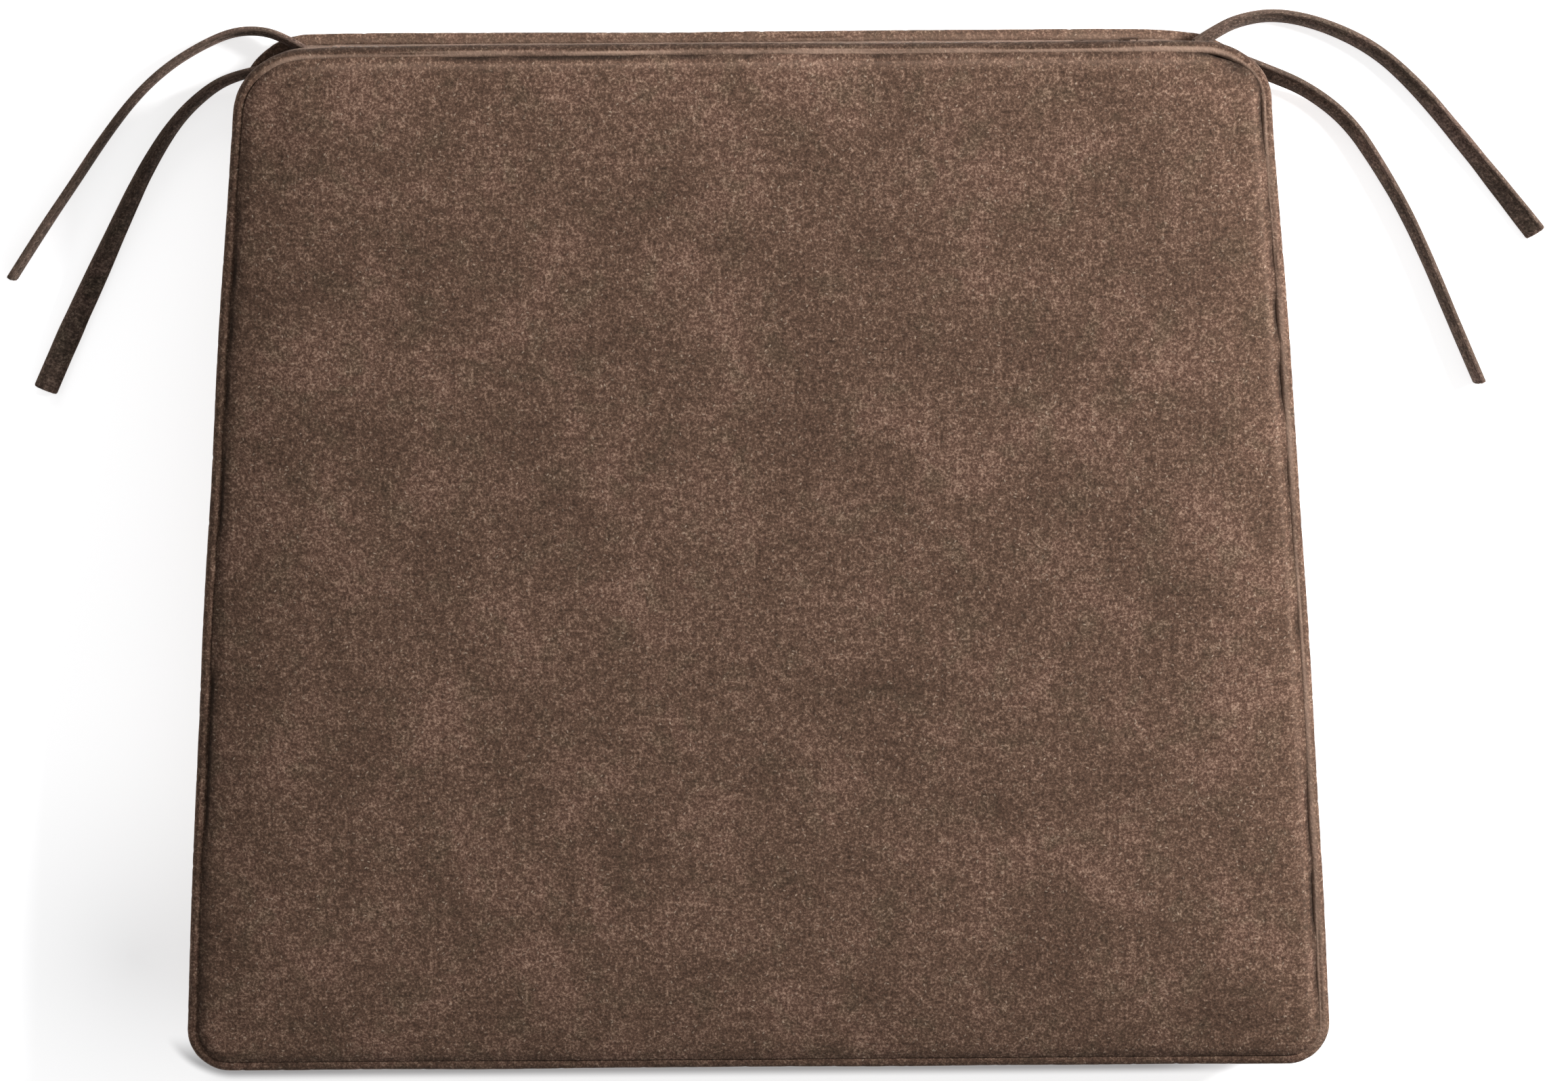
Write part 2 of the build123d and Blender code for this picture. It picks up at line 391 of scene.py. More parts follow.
clothLook = {
    "cover": {
        "ground": (0.0965, 0.0550, 0.0372, 1),
        "warm": (0.1020, 0.0550, 0.0388, 1),
        "olive": (0.0870, 0.0548, 0.0358, 1),
        "fleck": (0.42, 0.320, 0.240, 1),
        "contrast": 1.0,
        "flecks": 0.62,
        "worn": (0.47, 0.320, 0.240, 1),
        "deep": (0.018, 0.0115, 0.0085, 1),
    },
    "tie": {
        "ground": (0.078, 0.0520, 0.0395, 1),
        "warm": (0.084, 0.0520, 0.0420, 1),
        "olive": (0.070, 0.0520, 0.0370, 1),
        "fleck": (0.24, 0.180, 0.140, 1),
        "contrast": 1.25,
        "flecks": 0.60,
        "worn": (0.17, 0.120, 0.092, 1),
        "deep": (0.018, 0.0130, 0.0100, 1),
    },
}


def clothMaterial(name, look):
    material, tree, shader = newMaterial(name, {
        "Roughness": 0.92, "Specular IOR Level": 0.12, "Sheen Weight": 0.12,
        "Sheen Roughness": 0.4, "Sheen Tint": (0.86, 0.66, 0.54, 1)})
    uv = putNode(tree, "ShaderNodeUVMap", uv_map="clothUv")
    nap = putNode(tree, "ShaderNodeGroup", node_tree=heatherNodes)
    tree.links.new(uv.outputs[0], nap.inputs["Vector"])
    for label, key in (("Ground", "ground"), ("Warm", "warm"), ("Olive", "olive"),
                       ("Fleck", "fleck"), ("Contrast", "contrast"), ("Fleck Amount", "flecks")):
        nap.inputs[label].default_value = look[key]
    color = nap.outputs["Color"]
    # painted light and shade: above zero toward the pale colour as painted highlight, below zero
    # toward the deep colour as painted shade
    lightShadeAndWear = putNode(tree, "ShaderNodeAttribute", attribute_name="paintedLightAndWear").outputs["Fac"]
    pale = mixNode(tree, 0.35, look["worn"], color)
    times = sums(tree)[2]
    color = mixNode(tree, times(lightShadeAndWear, 1.0, clamp=True), color, pale)
    color = mixNode(tree, times(lightShadeAndWear, -0.85, clamp=True), color, look["deep"])
    tree.links.new(color, shader.inputs["Base Color"])
    bumpInto(tree, shader, nap.outputs["Height"], 0.55, 0.00035)
    return material


def weaveMaterial(name, light, dark, thread, depth, constants):
    material, tree, shader = newMaterial(name, constants)
    place = putNode(tree, "ShaderNodeTexCoord")
    weave = putNode(tree, "ShaderNodeGroup", node_tree=weaveNodes)
    tree.links.new(place.outputs["Object"], weave.inputs["Vector"])
    weave.inputs["Thread"].default_value = thread
    weave.inputs["Light"].default_value = light
    weave.inputs["Dark"].default_value = dark
    tree.links.new(weave.outputs["Color"], shader.inputs["Base Color"])
    bumpInto(tree, shader, weave.outputs["Height"], 0.5, depth)
    return material


def clumpedMaterial(name, light, dark, scale, depth, constants):
    # foam cells, lofted fibre, cast metal: one noise in colour and height
    material, tree, shader = newMaterial(name, constants)
    place = putNode(tree, "ShaderNodeTexCoord")
    lumps = putNode(tree, "ShaderNodeTexNoise",
                    {"Vector": place.outputs["Object"], "Scale": scale, "Detail": 3.0})
    color = mixNode(tree, rampNode(tree, lumps.outputs["Fac"], 0.3, 0.7), dark, light)
    tree.links.new(color, shader.inputs["Base Color"])
    bumpInto(tree, shader, lumps.outputs["Fac"], 0.4, depth)
    return material


coverCloth = clothMaterial("coverCloth", clothLook["cover"])
tieCloth = clothMaterial("tieCloth", clothLook["tie"])
cottonCord = weaveMaterial("cottonCord", (0.75, 0.70, 0.60, 1), (0.52, 0.47, 0.38, 1),
                           0.0009, 0.0003, {"Roughness": 0.9})
liningCloth = weaveMaterial("liningCloth", (0.070, 0.050, 0.040, 1), (0.042, 0.031, 0.025, 1),
                            0.0012, 0.0001, {"Roughness": 0.85})
zipTape = weaveMaterial("zipTape", (0.085, 0.055, 0.040, 1), (0.045, 0.030, 0.022, 1),
                        0.0007, 0.00012, {"Roughness": 0.9, "Specular IOR Level": 0.15})
foamBlock = clumpedMaterial("foamBlock", (0.80, 0.74, 0.52, 1), (0.62, 0.56, 0.36, 1),
                            900.0, 0.0005, {"Roughness": 0.95})
fibreFill = clumpedMaterial("fibreFill", (0.88, 0.88, 0.86, 1), (0.70, 0.70, 0.68, 1),
                            160.0, 0.002, {"Roughness": 1.0, "Sheen Weight": 0.4})
zipNylon = clumpedMaterial("zipNylon", (0.066, 0.044, 0.033, 1), (0.042, 0.028, 0.021, 1),
                           1500.0, 0.00003, {"Roughness": 0.38})
zipMetal = clumpedMaterial("zipMetal", (0.086, 0.054, 0.039, 1), (0.060, 0.038, 0.028, 1),
                           700.0, 0.00004,
                           {"Roughness": 0.8, "Specular IOR Level": 0.15, "IOR": 1.12})
stitchThread = clumpedMaterial("stitchThread", (0.200, 0.145, 0.110, 1), (0.100, 0.070, 0.055, 1),
                               3000.0, 0.00006, {"Roughness": 0.7, "Sheen Weight": 0.3})
print("materials ready")


# ---- mesh helpers

def meshPiece(name, points, faces, material, uv=None, smooth=True):
    mesh = bpy.data.meshes.new(name)
    mesh.from_pydata([tuple(p) for p in points], [], faces)
    if uv is not None:
        layer = mesh.uv_layers.new(name="clothUv")
        corners = np.empty(len(mesh.loops), dtype=np.int32)
        mesh.loops.foreach_get("vertex_index", corners)
        layer.data.foreach_set("uv", np.asarray(uv, dtype=np.float32)[corners].ravel())
    if smooth:
        mesh.shade_smooth()
    mesh.materials.append(material)
    return addObject(name, mesh)


def gridFaces(rows, columns, closed=False, flip=False):
    # rows run one way and columns the other; closed joins the last column to the first
    spans = columns if closed else columns - 1
    faces = [(r * columns + c, r * columns + (c + 1) % columns,
              (r + 1) * columns + (c + 1) % columns, (r + 1) * columns + c)
             for r in range(rows - 1) for c in range(spans)]
    return [face[::-1] for face in faces] if flip else faces


def giveThickness(piece):
    solid = piece.modifiers.new("cloth", "SOLIDIFY")
    solid.thickness, solid.offset = clothThickness, -1
    solid.use_even_offset = False


def fixNormals(piece):
    work = bmesh.new()
    work.from_mesh(piece.data)
    bmesh.ops.recalc_face_normals(work, faces=work.faces)
    work.to_mesh(piece.data)
    work.free()


def finish(piece, slot, *nodes, body="pad"):
    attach(piece, body)
    if nodes:
        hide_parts(*nodes)


# ---- the outline that the seams and welts follow

# where the ties are caught in, the cover is drawn in: place, way, reach, at the foot, at the top
cornerTucks = [
    ((0.1820, 0.1930), (-0.60, -0.80), 0.019, 0.0033, 0.0003),
    ((0.1890, 0.1840), (0.80, 0.60), 0.013, 0.0, 0.0013),
    ((-0.1800, 0.1965), (0.35, -0.94), 0.021, 0.0004, 0.0013),
]


def tucked(spots):
    moved = np.array(spots, dtype=float)
    height = np.clip((moved[:, 2] - lowSeam) / (highSeam - lowSeam), 0, 1)
    for place, way, reach, low, high in cornerTucks:
        gap = np.hypot(moved[:, 0] - place[0], moved[:, 1] - place[1])
        pull = (low + (high - low) * height) * np.exp(-(gap / reach) ** 2)
        moved[:, 0] += pull * way[0]
        moved[:, 1] += pull * way[1]
    return moved


def trapezoidCorner(inset, sideX, sideY):
    half = padShape["depth"] / 2 - inset
    slope = (padShape["frontWidth"] - padShape["backWidth"]) / 2 / padShape["depth"]
    middle = (padShape["frontWidth"] + padShape["backWidth"]) / 4
    middle -= inset * math.sqrt(1 + slope * slope)
    return np.array((sideX * (middle - sideY * slope * half), sideY * half))


def cornerArc(inset, sideX, sideY, start, stop):
    outer = padShape["backRadius"] if sideY > 0 else padShape["frontRadius"]
    centre = trapezoidCorner(max(inset, 0) + max(outer - inset, 0.001), sideX, sideY)
    if inset < 0:
        centre = trapezoidCorner(outer, sideX, sideY)
    angles = np.radians(np.linspace(start, stop, 2 * padShape["halfArc"] + 1))
    return centre + (outer - inset) * np.stack((np.cos(angles), np.sin(angles)), 1)


def bowed(points):
    half = padShape["depth"] / 2
    reach = (padShape["frontWidth"] + padShape["backWidth"]) / 4
    moved = np.array(points, dtype=float)
    moved[:, 0] += padShape["sideBow"] * (1 - (moved[:, 1] / half) ** 2) * moved[:, 0] / reach
    return moved


def resampled(points, fractions):
    steps = np.hypot(*np.diff(points, axis=0).T)
    along = np.concatenate(([0], np.cumsum(steps)))
    wanted = np.asarray(fractions) * along[-1]
    return np.stack([np.interp(wanted, along, points[:, k]) for k in range(2)], 1), along[-1]


def outlineArcs(inset):
    # the four corners in order from the middle of the back edge, anticlockwise
    tilt = math.degrees(math.atan2(
        (padShape["frontWidth"] - padShape["backWidth"]) / 2, padShape["depth"]))
    return [cornerArc(inset, -1, 1, 90, 180 - tilt), cornerArc(inset, -1, -1, 180 - tilt, 270),
            cornerArc(inset, 1, -1, 270, 360 + tilt), cornerArc(inset, 1, 1, 360 + tilt, 450)]


def dense(points, step=0.0004):
    length = np.hypot(*np.diff(points, axis=0).T).sum()
    return resampled(points, np.linspace(0, 1, max(int(length / step), 2)))[0]


def outlineLoop(inset, count):
    # evenly spaced points once round, with outward normals and distances
    start = np.array([(0.0, padShape["depth"] / 2 - inset)])
    whole = dense(bowed(dense(np.concatenate([start] + outlineArcs(inset) + [start]))))
    points, length = resampled(whole, np.arange(count) / count)
    ahead, behind = np.roll(points, -1, axis=0), np.roll(points, 1, axis=0)
    tangents = ahead - behind
    tangents /= np.hypot(*tangents.T)[:, None]
    normals = np.stack((tangents[:, 1], -tangents[:, 0]), 1)
    return points, normals, np.arange(count) / count * length, length


def sideCurves(inset):
    # front, back, left and right, each from one corner's middle to the next
    arcs = outlineArcs(inset)
    mid = padShape["halfArc"]
    left = np.concatenate((arcs[0][mid:], arcs[1][:mid + 1]))[::-1]
    front = np.concatenate((arcs[1][mid:], arcs[2][:mid + 1]))
    right = np.concatenate((arcs[2][mid:], arcs[3][:mid + 1]))
    back = np.concatenate((arcs[3][mid:], arcs[0][:mid + 1]))[::-1]
    return [dense(bowed(dense(curve))) for curve in (front, back, left, right)]


def spacedFractions(length, firstSteps, step):
    near = np.cumsum([0.0] + firstSteps)
    count = int(round((length - 2 * near[-1]) / step))
    middle = np.linspace(near[-1], length - near[-1], count + 1)
    return np.concatenate((near[:-1], middle, (length - near[:-1])[::-1])) / length


panelGrid = {
    "firstSteps": [0.00025, 0.00035, 0.0005, 0.0007, 0.0010, 0.0014, 0.0018],
    "step": 0.0023,
}
panelSpans = (0.42, 0.39)     # about how long the sides are, for spacing the rows


def panelPoints(inset, grid):
    # a patch stretched between the four sides of the seam line
    front, back, left, right = sideCurves(inset)
    across, along = [spacedFractions(span, grid["firstSteps"], grid["step"])
                     for span in panelSpans]
    f, b = resampled(front, across)[0], resampled(back, across)[0]
    l, r = resampled(left, along)[0], resampled(right, along)[0]
    u, v = across[None, :, None], along[:, None, None]
    patch = (1 - v) * f[None] + v * b[None] + (1 - u) * l[:, None] + u * r[:, None]
    patch -= ((1 - u) * (1 - v) * f[0] + u * (1 - v) * f[-1]
              + (1 - u) * v * b[0] + u * v * b[-1])
    return patch.reshape(-1, 2), along, across


def edgeDistance(points, inset):
    # distance in from the seam, and the place along it
    loop, _, along, _ = outlineLoop(inset, padShape["loopSteps"])
    distance, place = np.empty(len(points)), np.empty(len(points))
    batch = 2000
    for start in range(0, len(points), batch):
        part = slice(start, start + batch)
        squares = ((points[part, None, :] - loop[None]) ** 2).sum(2)
        distance[part] = np.sqrt(squares.min(1))
        place[part] = along[squares.argmin(1)]
    return distance, place


def sideDistances(points, inset):
    half = padShape["depth"] / 2 - inset
    slope = (padShape["frontWidth"] - padShape["backWidth"]) / 2 / padShape["depth"]
    middle = (padShape["frontWidth"] + padShape["backWidth"]) / 4 - inset
    width = middle - slope * points[:, 1] + padShape["sideBow"]
    return (half + points[:, 1], half - points[:, 1], width + points[:, 0], width - points[:, 0])


def ripple(a, b, seed):
    return np.array([noise.noise((x, y, seed)) for x, y in zip(a, b)])


paintedSideLight = {"back": 1.0, "right": 0.70, "left": -0.14, "front": -0.36}


def paintedSideLightShare(outward):
    # how much painted highlight each side gets, at the back and right where the light falls, and
    # painted shade at the front and left
    x, y = outward[:, 0], outward[:, 1]
    return (paintedSideLight["back"] * np.clip(y, 0, 1) ** 4 + paintedSideLight["front"] * np.clip(-y, 0, 1) ** 2
            + paintedSideLight["right"] * np.clip(x, 0, 1) + paintedSideLight["left"] * np.clip(-x, 0, 1))


# stores the painted highlight and painted shade of each point, and the wear on the tie edges
def putPaintedLightAndWear(piece, values):
    lightShadeAndWear = piece.data.attributes.new("paintedLightAndWear", "FLOAT", "POINT")
    lightShadeAndWear.data.foreach_set("value", np.asarray(values, dtype=np.float32).ravel())


facePanel = {
    "quickRise": 0.36,        # share of the crown that comes at once from the seam
    "quickReach": 0.0024,
    "softReach": 0.024,
    "swellShare": 0.24,       # share of the crown that the simulated swell gives
    "seamDrop": 0.0014,
    "dropReach": 0.0009,
    "evenSeam": 0.55,
    "unevenSeam": 1.5,
    "frontShallow": 0.90,     # hardly a groove in front
    "underWelt": 0.0010,      # this much of the seam lies under the welt
    "rightDrop": 0.0004,      # the seam sits deeper down the right side
    "pucker": 0.00030,
    "puckerReach": 0.005,
    "wave": 0.00028,
    "softness": 0.00008,
    "dimples": [
        {"place": (0.1801, 0.1890), "turn": -36, "size": (0.0070, 0.0027), "depth": 0.0022},
        {"place": (0.1765, 0.1936), "turn": -3, "size": (0.0042, 0.0008), "depth": 0.0018},
        {"place": (-0.1780, 0.1850), "turn": 42, "size": (0.0046, 0.0016), "depth": 0.0007},
        {"place": (-0.1720, 0.1930), "turn": 6, "size": (0.0060, 0.0009), "depth": 0.0008},
    ],
    # painted shade in the seam groove and in the dimples
    "groovePaintedShade": -0.95,
    "dimplePaintedShade": 380,
    "lipPaintedHighlight": 0.16,          # painted highlight on the lip of the seam, at the back and right
    "lipPlace": 0.0032,
    "lipWidth": 0.0013,
    "topGap": 0.0004,
    "casingGap": 0.0012,
}


padSwell = {
    "grid": {"firstSteps": [0.003], "step": 0.0055},
    "rows": 8,                # rows of cloth down each side
    "frames": 20,
    "pressure": 4.0,
    "slack": 0.012,           # the cover is cut this much larger than its filling
    "startRise": 0.82,
    "mostMove": 0.0034,
    "softening": 14,
    "cloth": {"quality": 6, "mass": 0.25, "tension_stiffness": 18, "compression_stiffness": 12,
              "shear_stiffness": 8, "bending_stiffness": 1.2},
}


def swellShell():
    # the pad's own closed cover, coarse, with both seams pinned
    points, along, across = panelPoints(seamInset, padSwell["grid"])
    rows, columns = len(along), len(across)
    base = highWelt[1][2]
    top = np.column_stack((points, base + (crownHeights(points) - base) * padSwell["startRise"]))
    floor = np.column_stack((points, np.full(len(points), lowSeam)))
    ring = ([c for c in range(columns)] + [r * columns + columns - 1 for r in range(1, rows)]
            + [(rows - 1) * columns + c for c in range(columns - 2, -1, -1)]
            + [r * columns for r in range(rows - 2, 0, -1)])
    faces = gridFaces(rows, columns)
    faces += [tuple(k + len(points) for k in face[::-1]) for face in gridFaces(rows, columns)]
    spots = [tuple(p) for p in top] + [tuple(p) for p in floor]
    levels = [[k + len(points) for k in ring]]
    for level in range(1, padSwell["rows"]):
        share = level / padSwell["rows"]
        start = len(spots)
        spots += [(top[k][0], top[k][1], lowSeam + (top[k][2] - lowSeam) * share) for k in ring]
        levels.append(list(range(start, start + len(ring))))
    levels.append(ring)
    for lower, upper in zip(levels, levels[1:]):
        for k in range(len(ring)):
            n = (k + 1) % len(ring)
            faces.append((lower[k], lower[n], upper[n], upper[k]))
    mesh = bpy.data.meshes.new("swellShell")
    mesh.from_pydata(spots, [], faces)
    shell = addObject("swellShell", mesh)
    held = shell.vertex_groups.new(name="seams")
    held.add(levels[0] + ring, 1.0, "REPLACE")
    return shell, along, across


def swellPad():
    # air pressure in a slightly slack cover gives the soft swell between the seams
    shell, along, across = swellShell()
    rest = np.array([v.co for v in shell.data.vertices])
    cloth = shell.modifiers.new("swell", "CLOTH")
    for label, value in padSwell["cloth"].items():
        setattr(cloth.settings, label, value)
    cloth.settings.vertex_group_mass = "seams"
    cloth.settings.use_pressure = True
    cloth.settings.uniform_pressure_force = padSwell["pressure"]
    cloth.settings.shrink_min = -padSwell["slack"]
    cloth.settings.effector_weights.gravity = 0
    cloth.collision_settings.use_collision = False
    cloth.point_cache.frame_start, cloth.point_cache.frame_end = 1, padSwell["frames"]
    for step in range(1, padSwell["frames"] + 1):
        bpy.context.scene.frame_set(step)
    blown = evaluatedMesh(shell)
    moved = np.array([v.co for v in blown.vertices]) - rest
    size = np.linalg.norm(moved, axis=1, keepdims=True)
    most = padSwell["mostMove"]
    moved *= np.where(size > 1e-9, most * np.tanh(size / most) / np.maximum(size, 1e-9), 1)
    bpy.data.objects.remove(shell)
    bpy.data.meshes.remove(blown)
    bpy.context.scene.frame_set(1)
    count = len(along) * len(across)
    print("cover swollen, most move", round(float(np.abs(moved).max()) * 1000, 2), "mm")
    lift = moved[:count, 2].reshape(len(along), len(across))
    return {"along": along, "across": across, "lift": lift}


def softened(values, times):
    for _ in range(times):
        padded = np.pad(values, 1, mode="edge")
        values = (padded[:-2, 1:-1] + padded[2:, 1:-1] + padded[1:-1, :-2]
                  + padded[1:-1, 2:] + 4 * values) / 8
    return values


def spreadOver(coarse, swell, along, across):
    # the coarse lift read at the fine panel's own rows and columns
    mid = np.array([np.interp(across, swell["across"], row) for row in coarse])
    fine = np.array([np.interp(along, swell["along"], column) for column in mid.T]).T
    return softened(fine, padSwell["softening"])


def crownHeights(points):
    base = highWelt[1][2]
    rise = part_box("top_panel")[1][2] - base
    distance = edgeDistance(points, panelInset)[0]
    quick = 1 - np.exp(-distance / facePanel["quickReach"])
    soft = np.ones(len(points))
    for side in sideDistances(points, panelInset):
        soft *= 1 - np.exp(-np.maximum(side, 0) / facePanel["softReach"])
    share = facePanel["quickRise"]
    return base + rise * (share * quick + (1 - share) * soft)


def seamDetail(points):
    # the needle line, small gathers along it, and the deep one at the back right corner
    distance, place = edgeDistance(points, panelInset)
    still = np.zeros(len(place))
    gathers = ripple(place * 12, still, 1.3) + 0.6 * ripple(place * 60, still, 4.3)
    uneven = np.clip(facePanel["evenSeam"] + facePanel["unevenSeam"] * gathers, 0.08, 1)
    _, normals, along, _ = outlineLoop(panelInset, padShape["loopSteps"])
    outward = np.column_stack([np.interp(place, along, normals[:, axis]) for axis in (0, 1)])
    shallow = 1 - facePanel["frontShallow"] * np.clip(-outward[:, 1], 0, 1) ** 2
    deep = facePanel["seamDrop"] + facePanel["rightDrop"] * (points[:, 0] > 0.15)
    shown = np.clip(distance - facePanel["underWelt"], 0, 1)
    groove = uneven * shallow * np.exp(-(shown / facePanel["dropReach"]) ** 2)
    z = -deep * groove
    # painted shade in the groove, painted highlight on the lip at the back and right
    lip = np.exp(-((distance - facePanel["lipPlace"]) / facePanel["lipWidth"]) ** 2)
    tone = facePanel["groovePaintedShade"] * groove
    tone = tone + facePanel["lipPaintedHighlight"] * np.clip(paintedSideLightShare(outward), -0.4, 1) * lip
    fade = np.exp(-distance / facePanel["puckerReach"]) * (1 - np.exp(-distance / 0.0010))
    z += facePanel["pucker"] * fade * (ripple(place * 110, distance * 40, 3.1)
                                       + 0.6 * ripple(place * 260, distance * 80, 8.1))
    z += facePanel["wave"] * ripple(points[:, 0] * 24, points[:, 1] * 24, 7.7)
    z += facePanel["softness"] * ripple(points[:, 0] * 70, points[:, 1] * 70, 2.2)
    for dimple in facePanel["dimples"]:
        turn = math.radians(dimple["turn"])
        dx, dy = points[:, 0] - dimple["place"][0], points[:, 1] - dimple["place"][1]
        a = (dx * math.cos(turn) + dy * math.sin(turn)) / dimple["size"][0]
        b = (-dx * math.sin(turn) + dy * math.cos(turn)) / dimple["size"][1]
        hollow = np.exp(-(a * a + b * b))
        z -= dimple["depth"] * hollow
        # painted shade in each dimple
        tone -= facePanel["dimplePaintedShade"] * dimple["depth"] * hollow
    return z, np.clip(tone, -1, 1)


def casingTop(points, below):
    # height of the insert under the cover, or below where there is none
    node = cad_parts["insert_casing_top"]
    tree = BVHTree.FromPolygons([v.co.copy() for v in node.data.vertices],
                                [tuple(f.vertices) for f in node.data.polygons])
    heights = np.full(len(points), below)
    for k, (x, y) in enumerate(points):
        hit = tree.ray_cast(Vector((x, y, 0.2)), Vector((0, 0, -1)))[0]
        if hit is not None:
            heights[k] = max(hit.z, below)
    return heights


def makeFacePanel(swell):
    points, along, across = panelPoints(panelInset, panelGrid)
    base, top = highWelt[1][2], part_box("top_panel")[1][2]
    z = crownHeights(points)
    if swell:
        lift = spreadOver(swell["lift"], swell, along, across).ravel()
        share = facePanel["swellShare"]
        z = base + (z - base) * (1 - share) + lift / lift.max() * (top - base) * share
    detail, tone = seamDetail(points)
    full = top - facePanel["topGap"] - base
    z = base + (z - base) * full / (z.max() - base) + detail
    z = np.maximum(z, casingTop(points, 0.0) + facePanel["casingGap"])
    z = np.minimum(z, top)
    piece = meshPiece("facePanel", tucked(np.column_stack((points, z))),
                      gridFaces(len(along), len(across)), coverCloth, points)
    # the painted shade and highlight along the seam
    putPaintedLightAndWear(piece, tone)
    giveThickness(piece)
    finish(piece, "cover_fabric", "top_panel")


underPanel = {"seamLift": 0.0017, "liftReach": 0.0016, "rest": 0.00018,
              "pucker": 0.00010, "puckerReach": 0.008}


def makeUnderPanel():
    points, along, across = panelPoints(seamInset, panelGrid)
    distance, place = edgeDistance(points, seamInset)
    z = underPanel["rest"] + underPanel["seamLift"] * np.exp(-distance / underPanel["liftReach"])
    z += underPanel["pucker"] * np.exp(-distance / underPanel["puckerReach"]) * (
        1 + ripple(place * 130, distance * 50, 5.3))
    faces = gridFaces(len(along), len(across), flip=True)
    piece = meshPiece("underPanel", tucked(np.column_stack((points, z))), faces, coverCloth,
                      points * (1, -1) + (0.7, 0.3))
    giveThickness(piece)
    finish(piece, "cover_fabric", "bottom_panel")


padSwelling = swellPad()
makeFacePanel(padSwelling)
makeUnderPanel()
print("face and under panels made")


# ---- boxing: the strip between the welts

zipStitch = {"fromFold": 0.0028, "pitch": 0.0031, "length": 0.0024, "width": 0.00042,
             "lift": 0.00104, "dent": 0.00022, "dentWidth": 0.0006}

boxing = {
    "underWeltPaintedShade": -0.75,
    "underReach": 0.008,
    "bulge": 0.0014,
    "backBulge": 0.0004,
    "fade": 0.035,
    "sideRows": 22,
    "sideStations": 720,
    "backRows": 16,
    "backStations": 150,
    "pucker": 0.00028,
    "puckerReach": 0.006,
    "foldDrop": 0.0004,
    "foldReach": 0.0005,
    "backFrom": 0.15,         # everything beyond this in y is the back edge
    "backOver": 0.003,        # the back strips run on under the side pieces
    "underStep": 0.0005,
    "backPanel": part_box("boxing_back_upper")[1][0],
    "windowTop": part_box("boxing_back_upper")[0][2],
    "windowBottom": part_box("boxing_back_lower")[1][2],
}


def boxingSwell(z, most):
    half, centre = (highSeam - lowSeam) / 2, (highSeam + lowSeam) / 2
    return most * max(1 - ((z - centre) / half) ** 2, 0) ** 0.8


def boxingSurface(points, normals, along, heights, fold=None):
    # fold is the height of the turned edge beside the zip
    half, centre = (highSeam - lowSeam) / 2, (highSeam + lowSeam) / 2
    nearBack = np.clip((np.abs(points[:, 0]) - boxing["backPanel"]) / boxing["fade"], 0, 1)
    nearBack = np.where(points[:, 1] < boxing["backFrom"], 1, nearBack)
    swell = boxing["backBulge"] + (boxing["bulge"] - boxing["backBulge"]) * nearBack
    solid, uv = [], []
    for z in heights:
        out = boxingSwell(z, 1.0) * swell
        toSeam = half - abs(z - centre)
        out = out + boxing["pucker"] * math.exp(-toSeam / boxing["puckerReach"]) * ripple(
            along * 140, np.full(len(along), z * 60), 9.2 + (z > centre))
        if fold is not None:
            edge = abs(z - fold)
            out = out - boxing["foldDrop"] * math.exp(-edge / boxing["foldReach"])
            dent = (edge - zipStitch["fromFold"]) / zipStitch["dentWidth"]
            out = out - zipStitch["dent"] * math.exp(-dent ** 2)
        spot = points + normals * out[:, None]
        solid += [(x, y, z) for x, y in spot]
        uv += [(s, z + 0.9) for s in along]
    return solid, uv


def paintedShadeUnderWelts(spots):
    # painted shade where the strip dips in below the top welt
    return boxing["underWeltPaintedShade"] * np.clip(
        1 - (highSeam - np.asarray(spots)[:, 2]) / boxing["underReach"], 0, 1)


def sewStrip(name, node, rows, spots, uv):
    piece = meshPiece(name, spots, gridFaces(rows, len(spots) // rows, flip=True), coverCloth, uv)
    putPaintedLightAndWear(piece, paintedShadeUnderWelts(spots))
    giveThickness(piece)
    finish(piece, "cover_fabric", node)


def makeBoxing():
    points, normals, along, _ = outlineLoop(seamInset, boxing["sideStations"])
    back = (points[:, 1] > boxing["backFrom"]) & (np.abs(points[:, 0]) < boxing["backPanel"])
    front = np.where(~back)[0]
    front = np.concatenate(([front[0] - 1], front, [front[-1] + 1]))
    rows = boxing["sideRows"]
    solid, uv = boxingSurface(points[front], normals[front], along[front],
                              np.linspace(lowSeam, highSeam, rows))
    sewStrip("boxingFrontSides", "boxing_front_sides", rows, tucked(solid), uv)
    edge = boxing["backPanel"] + boxing["backOver"]
    xs = np.linspace(edge, -edge, boxing["backStations"])
    step = boxing["underStep"]
    under = step * (np.abs(xs) > boxing["backPanel"] - step)
    strip = np.column_stack((xs, padShape["depth"] / 2 - seamInset - under))
    outward = np.tile((0.0, 1.0), (len(xs), 1))
    rows = boxing["backRows"]
    for name, node, fold, seam in (
            ("boxingBackUpper", "boxing_back_upper", boxing["windowTop"], highSeam),
            ("boxingBackLower", "boxing_back_lower", boxing["windowBottom"], lowSeam)):
        heights = np.linspace(min(fold, seam), max(fold, seam), rows)
        solid, uv = boxingSurface(strip, outward, edge - xs, heights, fold)
        sewStrip(name, node, rows, np.array(solid), uv)


makeBoxing()
print("boxing made")


# ---- welts: bias-cut cloth pulled round a cord

